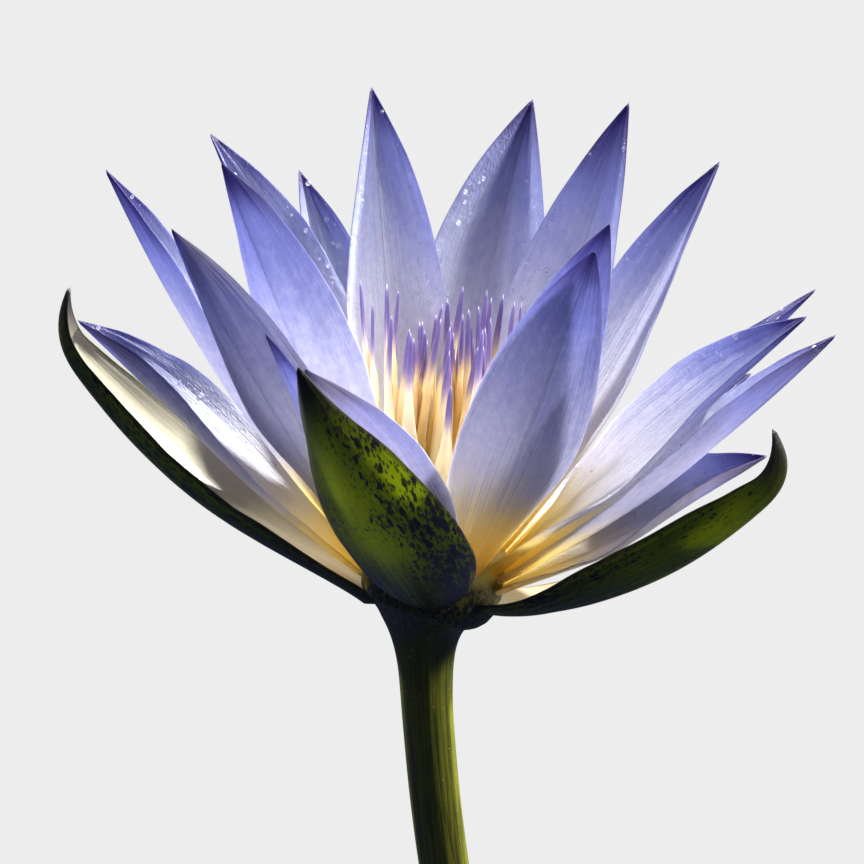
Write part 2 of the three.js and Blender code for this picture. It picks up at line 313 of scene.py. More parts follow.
def attribute(start, name, out="Fac"):
    return start.node("ShaderNodeAttribute", {"attribute_name": name}, out=out)


def noise(start, vector, scale, detail=2.0, rough=0.5):
    values = {"Vector": vector, "Scale": scale, "Detail": detail, "Roughness": rough}
    return start.node("ShaderNodeTexNoise", values=values)


def blend(factor, first, second):
    """Two colours mixed by a factor from 0 to 1."""
    values = {0: factor, 6: first, 7: second}
    return factor.node("ShaderNodeMix", {"data_type": "RGBA"}, values, out=2)


def relief(height, strength, distance):
    values = {"Height": height, "Strength": strength, "Distance": distance}
    return height.node("ShaderNodeBump", values=values)


def step(wire, low, high):
    """0 below low and 1 above high, with an S-curve between them."""
    return smooth((wire - low) / (high - low))


def stem_skin():
    material, shader, start = skin("stem", Roughness=0.42, Specular_IOR_Level=0.4)
    along = attribute(start, "along")
    angle = attribute(start, "round") * math.tau
    place = start.node("ShaderNodeTexCoord", out="Object")
    fibre = joined_vector(angle.math("COSINE") * 6, angle.math("SINE") * 6, along * 0.05)
    streaks = noise(start, fibre, 1.6, 4)
    patches = noise(start, place, 90, 3)
    grain = noise(start, place, 1500, 2)
    specks = start.node(
        "ShaderNodeTexVoronoi", {"feature": "F1"}, {"Vector": place, "Scale": 700, "Randomness": 1.0}
    )
    speck = (1 - step(specks, 0.06, 0.16)) * step(patches, 0.45, 0.6)
    hue = blend(step(streaks * 0.7 + patches * 0.3, 0.35, 0.62), colour("#434a12"), colour("#7f7f20"))
    height = attribute(start, "height")
    # Darker towards the head, from 12 mm below it: painted shade that the head casts on the top of the stem
    # and the receptacle.
    hue = blend(step(height, -12, -2) * 0.7, hue, colour("#3f3a18"))
    flecks = start.node("ShaderNodeTexVoronoi", {"feature": "F1"}, {"Vector": place, "Scale": 1300})
    fleck_share = step(0.24 + patches * 0.5 - flecks, 0.0, 0.08) * step(height, -4, 0)
    hue = blend(fleck_share * 0.9, hue, colour("#150d22"))
    hue = blend(step(height, 6, 8.5), hue, colour("#cdbf5c"))
    hue = blend(speck * 0.45, hue, colour("#c3cc93"))
    hue = blend((1 - step(along, 0.1, 0.6)) * 0.8, hue, colour("#a9a774"))
    feed(shader, Base_Color=hue, Normal=relief(streaks * 0.6 + grain * 0.2, 0.35, 0.0004))
    return material


def cut_skin():
    material, shader, start = skin("stem_cut", Roughness=0.4)
    place = start.node("ShaderNodeTexCoord", out="Object")
    cells = start.node("ShaderNodeTexVoronoi", {"feature": "F1"}, {"Vector": place, "Scale": 2600})
    hollow = attribute(start, "hollow")
    rim = step(attribute(start, "out"), 0.8, 0.98)
    hue = blend(step(cells, 0.1, 0.7), colour("#d3d8ac"), colour("#a3ad70"))
    hue = blend(rim * 0.8, hue, colour("#5d6a2a"))
    # The air canals are painted dark: painted shade inside the hollows.
    hue = blend(hollow * 0.8, hue, colour("#4b4a26"))
    feed(shader, Base_Color=hue, Normal=relief(cells, 0.4, 0.0002))
    return material


def stem_tree():
    stem = growth("stem", ["Radius", "Flare", "Flare Height", "Widest", "Bowl", "Step", "Sides"])
    line = stem["Geometry"].node("GeometryNodeMeshToCurve", values={"Mesh": stem["Geometry"]})
    line = line.node(
        "GeometryNodeCurveSplineType", {"spline_type": "CATMULL_ROM"}, {"Curve": line}
    )
    line = line.node("GeometryNodeSetSplineResolution", values={"Geometry": line, "Resolution": 24})
    line = line.node(
        "GeometryNodeResampleCurve", {"mode": "LENGTH"}, {"Curve": line, "Length": stem["Step"]}
    )
    height = line.node("GeometryNodeInputPosition")
    height = height.node("ShaderNodeSeparateXYZ", values={"Vector": height}, out="Z")
    radius = stem["Radius"] + stem["Flare"] * (height / stem["Flare Height"]).math("EXPONENT")
    radius = radius.math("MINIMUM", stem["Widest"]) + stem["Bowl"] * smooth((height + 1) / 4)
    radius = radius * (line.node("GeometryNodeSplineParameter", out="Factor") < 0.999)
    line = labelled(line, "along", line.node("GeometryNodeSplineParameter", out="Length"))
    line = labelled(line, "height", height)
    ring = line.node(
        "GeometryNodeCurvePrimitiveCircle", values={"Resolution": stem["Sides"], "Radius": 1.0}
    )
    ring = labelled(ring, "round", ring.node("GeometryNodeSplineParameter", out="Factor"))
    tube = line.node(
        "GeometryNodeCurveToMesh",
        values={"Curve": line, "Profile Curve": ring, "Scale": radius},
    )
    return ripen(stem, tube)


stem_line = bpy.data.meshes.new("stem_line")
stem_line.from_pydata(STEM_LINE, [(i, i + 1) for i in range(len(STEM_LINE) - 1)], [])
stem_sizes = {
    "Radius": STEM_RADIUS, "Flare": STEM_FLARE, "Flare Height": FLARE_HEIGHT,
    "Widest": RECEPTACLE_RADIUS, "Bowl": BOWL, "Step": STEM_STEP, "Sides": STEM_SIDES,
}
stem = grown("stem_skin", stem_tree(), stem_skin(), stem_sizes, laid_plant, stem_line)
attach(stem, "root")
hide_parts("stem")

# Air canals run through the stem: four wide ones round its middle, and a ring of narrow ones.
CANALS = [(0.4, 0.2, 4, 0.0), (0.76, 0.085, 10, 0.2)]     # place, radius, count, turn
CUT = {"Radius": STEM_RADIUS, "Depth": 1.6, "Rings": 56, "Sides": 96}


def cut_tree():
    s = growth("stem_cut", CUT)
    new = s["Radius"].node
    grid, out, round_it = unrolled(new, s["Rings"], s["Sides"])
    turn = round_it * math.tau
    x, y = out * turn.math("COSINE"), out * turn.math("SINE")
    hollow = out * 0
    for ring, wide, count, start in CANALS:
        for i in range(count):
            angle = math.tau * (i + start) / count
            side, up = x - ring * math.cos(angle), y - ring * math.sin(angle)
            near = (side * side + up * up).math("SQRT") / wide
            hollow = hollow + (1 - step(near, 0.75, 1.0))
    cut = labelled(labelled(grid, "hollow", hollow), "out", out)
    place = joined_vector(x * s["Radius"], y * s["Radius"], hollow * s["Depth"] + out ** 8 * 0.15)
    cut = new("GeometryNodeFlipFaces", values={"Mesh": put(cut, place)})
    return ripen(s, cut)


cut_end, next_point = (Vector(point) for point in STEM_LINE[:2])
cut_way = (next_point - cut_end).to_track_quat("Z", "Y").to_matrix().to_4x4()
cut_place = laid_plant @ Matrix.Translation(cut_end) @ cut_way
cut = grown("stem_cut_face", cut_tree(), cut_skin(), CUT, cut_place)
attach(cut, "root")

# ---------------------------------------------------------------------------
# Sepals and petals
# Each is one thin blade, bent across its width like a trough and keeled towards its tip. It grows
# from its whorl on the receptacle. The four sepals are thick and boat shaped, and hook in.
# ---------------------------------------------------------------------------

WHORLS = {
    "sepals": {"Radius": 9.4, "Height": 0.5},
    "outermost": {"Radius": 9.9, "Height": 3.3},
    "outer": {"Radius": 9.9, "Height": 5.1},
    "middle": {"Radius": 9.8, "Height": 6.8},
    "inner": {"Radius": 9.6, "Height": 8.5},
}
BLADE = {
    "Azimuth": 0, "Lean": 45, "Length": 60, "Width": 17, "Root Width": 0.32, "Widest": 0.5,
    "Cup": 35, "Keel": 0.35, "Bow": 3, "Heel": 0, "Hook": 0, "Sway": 0, "Roll": 0, "Clasp": 0,
    "Radius": 9.8, "Height": 5, "Thickness": 0.7, "Tip": 0.12, "Pleats": 0.1, "Ripple": 0.25,
    "Paleness": 0, "Seed": 0, "Rows": 84, "Loop": 60,
}
SEPAL = {
    "Width": 21, "Root Width": 0.5, "Widest": 0.42, "Cup": 58, "Keel": 0.2, "Bow": 24, "Hook": 50,
    "Clasp": 1, "Thickness": 1.3, "Tip": 0.4, "Pleats": 0.05, "Ripple": 0.2,
}
HEEL_SHARE = 0.1                  # the share of its length in which a sepal's heel fades
CLASP_SHARE = 0.3                 # the share of its length that wraps round the receptacle
CLASP_FLAT = 0.4                  # how much shallower its trough is there
HOOK_FROM = 0.78                  # the share of its length where its tip begins to hook in
TIP_POINT = 1.9                   # how full a blade stays before it narrows to its tip
KEEL_FROM = 0.35                  # where its keel begins
KEEL_DRAW = 0.35                  # how much the keel draws its edges together
BLADE_THINNING = 0.45             # how much thinner it is at its tip
EDGE_ROUND = 0.7                  # the roundness of its edges: 1 is a full ellipse
SEAL = 0.001                      # the share of its length in which either end closes
DEGREE = math.pi / 180


def blade_tree():
    s = growth("blade", BLADE)
    new = s["Azimuth"].node
    grid, u, round_it = unrolled(new, s["Rows"] + 1, s["Loop"])
    turn = round_it * math.tau
    v = turn.math("COSINE")
    facing = turn.math("SINE")

    fall = ((u - s["Widest"]) / (1 - s["Widest"])).math("MAXIMUM", 0.0)
    rise_part = (u / s["Widest"]).math("MINIMUM", 1.0) * (math.pi / 2)
    share = s["Root Width"] + (1 - s["Root Width"]) * rise_part.math("SINE")
    half = (s["Width"] / 2 * share * (1 - fall ** TIP_POINT)).math("MAXIMUM", s["Tip"])

    def slope_at(u):
        heel = s["Heel"] * (u / -HEEL_SHARE).math("EXPONENT")
        hook = s["Hook"] * smooth((u - HOOK_FROM) / (1 - HOOK_FROM))
        return (s["Lean"] + s["Bow"] * (1 - 2 * u) + heel - hook) * DEGREE

    def azimuth_at(u):
        return (s["Azimuth"] + 2 * s["Sway"] * u) * DEGREE

    # The midrib, added up from the root in straight steps, once for each column of points.
    middle = u + 0.5 / s["Rows"]
    slope, azimuth = slope_at(middle), azimuth_at(middle)
    stride = joined_vector(
        azimuth.math("COSINE") * slope.math("SINE"),
        azimuth.math("SINE") * slope.math("SINE"),
        slope.math("COSINE"),
    )
    column = new("GeometryNodeInputIndex") % (s["Loop"] + 1)
    walked = new(
        "GeometryNodeAccumulateField",
        {"data_type": "FLOAT_VECTOR", "domain": "POINT"},
        {"Value": stride, "Group ID": column},
        out="Trailing",
    )
    walked = new("ShaderNodeSeparateXYZ", values={"Vector": walked})
    stride_length = s["Length"] / s["Rows"]
    root_side = s["Azimuth"] * DEGREE
    rib_x = s["Radius"] * root_side.math("COSINE") + walked["X"] * stride_length
    rib_y = s["Radius"] * root_side.math("SINE") + walked["Y"] * stride_length
    rib_z = s["Height"] + walked["Z"] * stride_length

    # The section: a trough with a keel, shallow pleats lengthwise and a ripple at its edges.
    cup = s["Cup"] * DEGREE
    keel = s["Keel"] * smooth((u - KEEL_FROM) / 0.6)
    ridge = (v * v + 0.002).math("SQRT")
    clasp = s["Clasp"] * (1 - smooth(u / CLASP_SHARE))
    deep = 1 - CLASP_FLAT * clasp
    across = half / cup * (cup * v).math("SINE") * (1 - KEEL_DRAW * keel)
    rise = half / cup * (1 - (cup * v).math("COSINE")) * deep + keel * ridge * half
    shape = joined_vector(v * 2.6, u * 1.2, s["Seed"] * 7.3)
    pleats = new("ShaderNodeTexNoise", values={"Vector": shape, "Scale": 2.2, "Detail": 1.0}) - 0.5
    ends = smooth(u / 0.25) * smooth((1 - u) / 0.12)
    shape = joined_vector(v * 0.8, u * 5, s["Seed"] * 3.1)
    ripple = new("ShaderNodeTexNoise", values={"Vector": shape, "Scale": 1.5, "Detail": 1.0}) - 0.5
    rise = rise + ends * (pleats * s["Pleats"] * 8 + ripple * v * v * s["Ripple"] * 4)

    # Both faces lie half the thickness from the section and meet in round edges.
    lean_across = half * (cup * v).math("COSINE") * (1 - KEEL_DRAW * keel)
    lean_rise = half * (cup * v).math("SINE") * deep + keel * v / ridge * half
    tilt = lean_rise.math("ARCTAN2", lean_across)
    edge = abs(facing) ** EDGE_ROUND * facing.math("SIGN")
    thin = s["Thickness"] / 2 * (1 - BLADE_THINNING * u) * edge * (u > SEAL)
    before_tip = u < 1 - SEAL
    across = (across - thin * tilt.math("SINE")) * before_tip
    rise = (rise + thin * tilt.math("COSINE")) * before_tip

    slope, azimuth = slope_at(u), azimuth_at(u)
    twist = s["Roll"] * smooth(u / 0.5) * DEGREE
    sideways = across * twist.math("COSINE") - rise * twist.math("SINE")
    inward = across * twist.math("SINE") + rise * twist.math("COSINE")
    out_x = rib_x - inward * azimuth.math("COSINE") * slope.math("COSINE")
    out_y = rib_y - inward * azimuth.math("SINE") * slope.math("COSINE")
    wrap = clasp * sideways / (rib_x * rib_x + rib_y * rib_y).math("SQRT")
    sideways = (1 - clasp) * sideways
    place = joined_vector(
        out_x * wrap.math("COSINE") - out_y * wrap.math("SINE") - sideways * azimuth.math("SINE"),
        out_x * wrap.math("SINE") + out_y * wrap.math("COSINE") + sideways * azimuth.math("COSINE"),
        rib_z + inward * slope.math("SINE"),
    )

    blade = labelled(grid, "along", u)
    blade = labelled(blade, "across", v)
    blade = labelled(blade, "inside", smooth(facing * 4 + 0.5))
    blade = labelled(blade, "to_tip", (1 - u) * s["Length"])
    blade = labelled(blade, "paleness", s["Paleness"])
    leaf = joined_vector(v * half, u * s["Length"], s["Seed"] * 31.7)
    blade = labelled(blade, "leaf", leaf, "FLOAT_VECTOR")
    return ripen(s, put(blade, place))


blade = blade_tree()


def petal_skin():
    material, shader, start = skin("petal", Specular_IOR_Level=0.4)
    along = attribute(start, "along")
    across = attribute(start, "across")
    inside = attribute(start, "inside")
    to_tip = attribute(start, "to_tip")
    paleness = attribute(start, "paleness")
    leaf = attribute(start, "leaf", "Vector")
    parts = start.node("ShaderNodeSeparateXYZ", values={"Vector": leaf})
    petal = parts["Z"]
    streaks = noise(start, joined_vector(across * 9, along * 1.1, petal), 1.0, 4, 0.6)
    fine = noise(start, joined_vector(across * 42, along * 3, petal), 1.0, 2)
    patches = noise(start, leaf, 0.09, 2)

    # Indigo at the tip, fading through lavender and white to yellow at the root.
    shift = (streaks - 0.5) * 0.2 + (patches - 0.5) * 0.16 + across * across * 0.07
    ripe = along + shift * smooth(along * 3)
    inner_hue = ripe.node("ShaderNodeValToRGB", {"stops": [
        (0.0, colour("#ecc02a")),
        (0.08, colour("#f2d65c")),
        (0.17, colour("#f5eab8")),
        (0.27, colour("#f3efe2")),
        (0.45, colour("#ebe9ee")),
        (0.6, colour("#dcdee8")),
        (0.74, colour("#c2c7dc")),
        (0.86, colour("#a2a7cc")),
        (0.95, colour("#8484b8")),
        (1.0, colour("#56498a")),
    ]}, {"Fac": ripe})
    outer_hue = ripe.node("ShaderNodeValToRGB", {"stops": [
        (0.0, colour("#e6b624")),
        (0.08, colour("#ecd06a")),
        (0.17, colour("#efe5bc")),
        (0.32, colour("#e9e6e6")),
        (0.5, colour("#c9c8de")),
        (0.68, colour("#a6a8cc")),
        (0.85, colour("#7f80b8")),
        (1.0, colour("#4e4384")),
    ]}, {"Fac": ripe})
    # Some petals' outer faces are paler; on petal_12 the paleness is painted light, in place of the light
    # that other petals keep from it.
    outer_hue = blend(paleness, outer_hue, colour("#e6dde6"))
    hue = blend(inside, outer_hue, inner_hue)

    # Veins run from the root and meet at the tip, and the skin between them is finely mottled; its pale
    # blotches are partly painted highlights on its wrinkles.
    wander = (noise(start, joined_vector(across * 2, along * 2.5, petal), 1.0, 2) - 0.5) * 1.6
    comb = (across * 7.5 + wander).math("FRACT")
    seen = smooth((along - 0.08) * 5) * (1 - step(along, 0.6, 0.95))
    vein = (1 - step(abs(comb - 0.5), 0.03, 0.13)) * seen
    lines = step(fine, 0.5, 0.72) * 0.2 * smooth((along - 0.1) * 4)
    hue = blend(lines, hue, colour("#5553a8"))
    hue = blend(vein * (0.4 - 0.25 * inside), hue, colour("#f0ecf6"))
    drawn = joined_vector(parts["X"] * 1.3, parts["Y"] * 0.7, petal)
    mottle = noise(start, drawn, 0.9, 4, 0.65)
    # Pale blotches: the skin's own mottling, and painted highlights on its wrinkles.
    pale_mottle_and_highlight = step(mottle, 0.48, 0.68) * 0.45 * smooth((along - 0.2) * 3) * (1 - step(ripe, 0.75, 0.95))
    hue = blend(pale_mottle_and_highlight, hue, colour("#e4e8f6"))
    deep_share = (1 - step(mottle, 0.32, 0.5)) * 0.2 * smooth((along - 0.3) * 3)
    hue = blend(deep_share, hue, colour("#505a98"))
    rib = (1 - step(abs(across), 0.01, 0.035)) * smooth((along - 0.15) * 3)
    hue = blend(rib * 0.4 * inside, hue, colour("#b58fbe"))
    rim = step(abs(across), 0.95, 1.0) * step(along, 0.45, 0.9)
    nib = (1 - step(to_tip, 0.3, 4)).math("MAXIMUM", rim * 0.5)
    hue = blend(nib * 0.75, hue, colour("#2c1c58"))

    net = start.node(
        "ShaderNodeTexVoronoi",
        {"feature": "DISTANCE_TO_EDGE"},
        {"Vector": joined_vector(parts["X"] * 1.6, parts["Y"] * 0.8, petal), "Scale": 1.0},
    )
    crinkle = noise(start, leaf, 0.9, 3, 0.6)
    netted = (step(net, 0.0, 0.3) * 0.14 + crinkle * 0.5 + mottle * 0.4) * inside
    height = netted + streaks * 0.8 + fine * 0.3 + vein * (0.3 - 0.1 * inside) - rib * 0.3
    normal = relief(height, 0.6, 0.0003)
    feed(shader, Base_Color=hue, Normal=normal, Roughness=0.45 + crinkle * 0.2)

    # Light that comes through the thin blade: violet towards the tip, warm at the root.
    through = layered(
        start, mottle, glow(start, "#a6a9cc", Normal=normal), glow(start, "#e9e6e6", Normal=normal)
    )
    through = layered(start, step(ripe, 0.1, 0.4), glow(start, "#fff0b0", Normal=normal), through)
    through = layered(start, step(ripe, 0.45, 0.88), through, glow(start, "#a2a5d0", Normal=normal))
    through = layered(start, step(ripe, 0.84, 1.04), through, glow(start, "#5c5296", Normal=normal))
    open_share = 0.52 * (1 - 0.2 * step(ripe, 0.8, 1.0)) * (1 - 0.35 * rib)
    sheet = layered(start, open_share, start, through)
    coat_with(material, sheet)
    return material


def sepal_skin():
    material, shader, start = skin("sepal", Roughness=0.4, Specular_IOR_Level=0.4)
    along = attribute(start, "along")
    across = attribute(start, "across")
    inside = attribute(start, "inside")
    to_tip = attribute(start, "to_tip")
    paleness = attribute(start, "paleness")
    leaf = attribute(start, "leaf", "Vector")
    parts = start.node("ShaderNodeSeparateXYZ", values={"Vector": leaf})
    sepal = parts["Z"]
    streaks = noise(start, joined_vector(across * 8, along * 1.2, sepal), 1.0, 3, 0.6)
    fine = noise(start, joined_vector(across * 36, along * 3, sepal), 1.0, 2)
    patches = noise(start, leaf, 0.1, 2)
    rim = step(abs(across), 0.93, 0.99)

    green = blend(step(streaks, 0.35, 0.65), colour("#465407"), colour("#84961a"))
    # Darker towards the base: painted shade over the lower part of the sepal.
    base_painted_shade = 1 - step(along, 0.2, 0.5)
    green = blend(base_painted_shade * 0.75, green, colour("#2d2a14"))
    comb = (across * 5 + (streaks - 0.5) * 0.8).math("FRACT")
    vein = (1 - step(abs(comb - 0.5), 0.02, 0.1)) * smooth(along * 6)
    green = blend(vein * 0.5, green, colour("#a8b423"))
    rib = 1 - step(abs(across), 0.015, 0.06)
    green = blend(rib * 0.4, green, colour("#b3ba4f"))
    green = blend((1 - step(along, 0.02, 0.14)) * 0.6, green, colour("#4a4318"))

    # Darker towards the hooked tip: painted shade.
    tip_painted_shade = step(along, 0.66, 0.95)
    green = blend(tip_painted_shade * 0.75, green, colour("#261a1e"))

    # Purple black flecks, longer than they are wide, most of them towards the edges.
    warp = noise(start, leaf, 0.9, 2) - 0.5
    crowd = step(across, -0.2, 0.7) * 1.1 + step(-across, 0.3, 0.9) * 0.9 + (patches - 0.5) * 1.6
    crowd = (crowd + (0.5 - along) * 0.5) * mixed(paleness, 0.55, 1.0)
    large = start.node(
        "ShaderNodeTexVoronoi",
        {"feature": "F1"},
        {"Vector": joined_vector(parts["X"] * 1.2 + warp, parts["Y"] * 0.27, sepal), "Scale": 1.0},
    )
    small = start.node(
        "ShaderNodeTexVoronoi",
        {"feature": "F1"},
        {"Vector": joined_vector(parts["X"] * 2.6 + warp, parts["Y"] * 0.6, sepal), "Scale": 1.0},
    )
    flecks = step(0.1 + crowd * 0.36 + warp * 0.4 - large, 0.0, 0.07)
    dots = step(0.22 + crowd * 0.25 - small, 0.0, 0.08)
    dark = flecks.math("MAXIMUM", dots * 0.9) * step(to_tip, 4, 10)
    green = blend(dark * 0.95, green, colour("#140c26"))
    green = blend(rim * 0.6, green, colour("#4a3a20"))
    cream = blend(step(streaks, 0.3, 0.7), colour("#d6cdb0"), colour("#c6bfa4"))
    cream = blend(step(along, 0.8, 1.0) * 0.6, cream, colour("#8d8a9c"))
    hue = blend(inside * (1 - rim), green, cream)
    # Nearly black over the last 11 mm: painted shade on the hooked tip.
    nib = 1 - step(to_tip, 1.0, 11.0)
    hue = blend(nib * 0.85, hue, colour("#1d1414"))
    height = (streaks * 0.8 + fine * 0.4 + warp * 0.3 + vein * 0.2) * (1 - 0.75 * inside)
    feed(shader, Base_Color=hue, Normal=relief(height, 0.5, 0.0004))
    # The painted shade at the base and the tip also holds back the light that comes through.
    open_share = mixed(paleness, 0.2, 0.42) * (1 - 0.93 * dark)
    open_share = open_share * (1 - 0.75 * base_painted_shade) * (1 - 0.7 * tip_painted_shade) * (1 - nib) * (1 - 0.8 * rim)
    sheet = layered(start, open_share, start, glow(start, "#c8d41a"))
    coat_with(material, sheet)
    return material


SEPALS = {
    "left": {
        "Azimuth": 171, "Lean": 56, "Length": 72, "Root Width": 0.62, "Bow": 25, "Heel": -25, "Height": 0,
    },
    "front": {
        "Azimuth": 262, "Lean": 51, "Length": 82, "Width": 25, "Root Width": 0.6, "Cup": 50, "Bow": 16,
        "Hook": 12, "Sway": -14, "Height": 3.5, "Paleness": 1,
    },
    "right": {
        "Azimuth": 337, "Lean": 52.5, "Length": 63, "Width": 19, "Root Width": 0.6, "Bow": 22, "Heel": 18,
        "Hook": 66, "Roll": -16, "Height": 2.2,
    },
    "back": {"Azimuth": 76, "Lean": 53, "Length": 65, "Root Width": 0.62, "Hook": 30},
}
sepal_material = sepal_skin()
for number, (name, own) in enumerate(SEPALS.items()):
    sizes = {**BLADE, **SEPAL, **WHORLS["sepals"], **own, "Seed": number + 40}
    sepal = grown(f"sepal_{name}_blade", blade, sepal_material, sizes, laid_head)
    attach(sepal, "root")
    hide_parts(f"sepal_{name}")


def petal(whorl, azimuth, lean, length, width, **others):
    own = {"Azimuth": azimuth, "Lean": lean, "Length": length, "Width": width}
    return {**BLADE, **WHORLS[whorl], **own, **{name.replace("_", " "): x for name, x in others.items()}}


PETALS = [
    petal("outermost", 168, 55, 60, 18, Cup=45, Keel=0.5),
    petal("outermost", 258, 50, 77, 23, Bow=9, Sway=-8, Cup=42, Height=5.4, Paleness=0.75),
    petal("outermost", 349, 54.5, 48, 20, Bow=5, Roll=15, Height=3.8, Paleness=0.5),
    petal("outermost", 27, 54, 54, 17),
    petal("outermost", 124, 61.8, 65, 17, Root_Width=0.24),
    petal("outer", 348, 45.5, 66.5, 19, Bow=10, Cup=42, Height=5.5, Paleness=0.6),
    petal("outermost", 101, 48, 58, 14, Height=4, Root_Width=0.27),
    petal("middle", 8, 44, 65, 12, Bow=4, Height=7, Root_Width=0.15),
    petal("outer", 240, 44, 65.5, 8, Height=7.4),
    petal("outer", 121, 38, 66, 17),
    petal("middle", 177, 38, 73, 16, Bow=10, Cup=45, Keel=0.5),
    # petal_12: its paleness is painted light, since other petals shade it.
    petal("middle", 213, 36, 70, 16, Roll=30, Paleness=0.6),
    petal("middle", 292, 30, 72, 19, Keel=0.5, Bow=4, Roll=-25),
    petal("middle", 339, 42, 66, 20, Bow=2, Roll=30, Height=7.2),
    petal("middle", 33, 31, 72, 19, Bow=8),
    petal("middle", 84, 31, 75, 22, Bow=1, Sway=-8, Roll=6),
    petal("middle", 145, 34, 70, 22, Bow=-3, Root_Width=0.25, Height=7.2),
    petal("inner", 50, 23, 73, 18, Bow=5, Roll=14, Root_Width=0.28),
    petal("inner", 114, 24, 71, 18),
    petal("inner", 214, 28, 73, 18, Bow=0, Roll=30),
    petal("inner", 300, 25, 69, 17, Roll=-25),
]
petal_material = petal_skin()
for number, sizes in enumerate(PETALS, start=1):
    piece = grown(f"petal_{number:02d}_blade", blade, petal_material, {**sizes, "Seed": number}, laid_head)
    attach(piece, "root")
    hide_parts(f"petal_{number:02d}")

# ---------------------------------------------------------------------------
# Stamens and stigma
# Whorls of flat ribbons stand on the receptacle: a cream to yellow filament, two orange anthers on
# its inner face, and a violet pointed tip that curves in. Shorter styles ring the stigma's cup.
# ---------------------------------------------------------------------------

STAMEN = {
    "Count": 14, "Circle": 7.6, "Width": 3.4, "Lean": 14, "Incurve": 10, "Shortest": 30,
    "Longest": 41, "Thickness": 0.6, "Base": 10.2, "Blunt": 0.3, "Paleness": 1, "Seed": 1, "Rows": 30,
    "Loop": 20,
}


def stamen_tree():
    s = growth("stamens", STAMEN)
    new = s["Count"].node
    places = new("GeometryNodeMeshLine", {"mode": "OFFSET"}, {"Count": s["Count"]})
    places = labelled(places, "stamen", new("GeometryNodeInputIndex"))
    ribbon, along, round_it = unrolled(new, s["Rows"] + 1, s["Loop"])
    ribbon = labelled(ribbon, "along", along)
    ribbon = labelled(ribbon, "turn", round_it)
    whorl = new("GeometryNodeInstanceOnPoints", values={"Points": places, "Instance": ribbon})
    whorl = whorl.node("GeometryNodeRealizeInstances", values={"Geometry": whorl})

    stamen, t, turn = kept(new, "stamen"), kept(new, "along"), kept(new, "turn") * math.tau

    def chance(number):
        values = {"ID": stamen, "Seed": s["Seed"] * 10 + number}
        return new("FunctionNodeRandomValue", {"data_type": "FLOAT"}, values, out=1)

    v, facing = turn.math("COSINE"), turn.math("SINE")
    length = mixed(chance(1), s["Shortest"], s["Longest"])
    azimuth = (stamen + 0.4 * chance(2)) / s["Count"] * math.tau + s["Circle"]
    lean = (s["Lean"] + 3 * (chance(3) - 0.5) - s["Incurve"] * t / 2) * DEGREE
    drift = lean.math("SINE") * length * t
    sideways = (chance(4) - 0.5) * 0.12 * length * t * t
    taper = (1 - (1 - s["Blunt"]) * smooth(t / 0.8)) * (1 - t ** 5).math("SQRT")
    closed = (t > SEAL) * (t < 1 - SEAL)
    half = s["Width"] / 2 * (0.8 + 0.2 * smooth(t * 4)) * taper.math("MAXIMUM", 0.02) * closed
    anther = smooth((t - 0.4) / 0.1) * smooth((0.76 - t) / 0.06)
    lobe = smooth(1 - abs(abs(v) - 0.55) * 3) * anther * (facing < 0)
    edge = abs(facing) ** EDGE_ROUND * facing.math("SIGN")
    thick = s["Thickness"] / 2 * (1 - 0.4 * t) * edge - lobe * 0.5
    radial = s["Circle"] + drift + (thick - v * v * half * 0.5) * closed
    tangent = v * half + sideways
    place = joined_vector(
        radial * azimuth.math("COSINE") - tangent * azimuth.math("SINE"),
        radial * azimuth.math("SINE") + tangent * azimuth.math("COSINE"),
        s["Base"] + length * t,
    )
    whorl = labelled(whorl, "across", v)
    whorl = labelled(whorl, "anther", lobe)
    whorl = labelled(whorl, "paleness", s["Paleness"] - 0.3 * chance(5))
    return ripen(s, put(whorl, place))


def stamen_skin():
    material, shader, start = skin("stamen", Roughness=0.45, Specular_IOR_Level=0.4)
    along = attribute(start, "along")
    across = attribute(start, "across")
    stamen = attribute(start, "stamen")
    pale = attribute(start, "paleness")
    anther = attribute(start, "anther")
    streaks = noise(start, joined_vector(across * 5, along * 3, stamen * 3.7), 1.0, 3)
    ripe = along + (streaks - 0.5) * 0.08
    yellow = ripe.node("ShaderNodeValToRGB", {"stops": [
        (0.0, colour("#f2b60f")),
        (0.4, colour("#fbe070")),
        (0.77, colour("#f2d27c")),
        (0.82, colour("#a8889a")),
        (0.88, colour("#7c689e")),
        (1.0, colour("#988cb8")),
    ]}, {"Fac": ripe})
    cream = ripe.node("ShaderNodeValToRGB", {"stops": [
        (0.0, colour("#f5c830")),
        (0.2, colour("#fae79a")),
        (0.42, colour("#fcf6da")),
        (0.7, colour("#f4ecdc")),
        (0.78, colour("#b9aac8")),
        (0.86, colour("#8674a8")),
        (0.94, colour("#7e6ca4")),
        (1.0, colour("#b0a4ca")),
    ]}, {"Fac": ripe})
    hue = blend(pale, yellow, cream)
    pollen = blend(step(streaks, 0.4, 0.6), colour("#7a4a70"), colour("#eaa524"))
    hue = blend(step(anther, 0.1, 0.5), hue, pollen)
    feed(shader, Base_Color=hue, Normal=relief(streaks, 0.5, 0.0003))
    through = layered(start, step(ripe, 0.72, 0.84), glow(start, "#fff8dc"), glow(start, "#a296c2"))
    sheet = layered(start, 0.4, start, through)
    coat_with(material, sheet)
    return material


